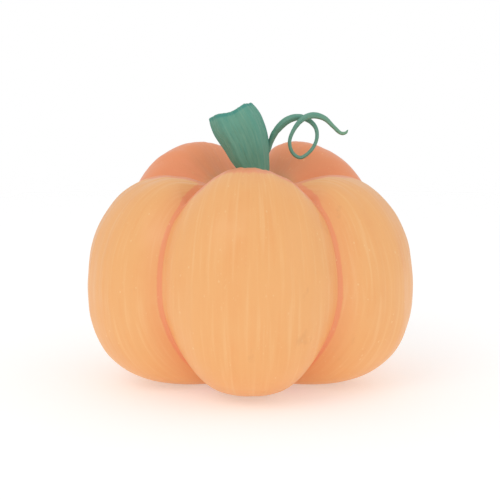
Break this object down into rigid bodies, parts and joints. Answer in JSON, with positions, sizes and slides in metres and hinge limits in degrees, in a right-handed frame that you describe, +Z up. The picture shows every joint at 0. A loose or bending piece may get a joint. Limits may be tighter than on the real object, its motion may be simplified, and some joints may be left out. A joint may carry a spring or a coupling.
{
  "type": "pumpkin",
  "caption": "Ripe pumpkin as picked: a broad lobed fruit with a short ridged cut stem and a curled tendril, resting upright on a small flat spot.",
  "frame": {"origin": "on the fruit's axis, at the centre of the flat spot it rests on", "axes": "+Z up along the fruit's axis towards the stem, -Y towards the front lobe, -X towards the side the stem leans to"},
  "size_m": [0.2532, 0.2493, 0.2183],
  "materials": {
    "rind": "waxy, satin",
    "stem": "matt, ridged and fibrous",
    "tendril": "matt, finely grooved"
  },
  "bodies": {
    "root": {"fruit": "rind", "stem": "stem", "tendril": "tendril"}
  },
  "joints": []
}
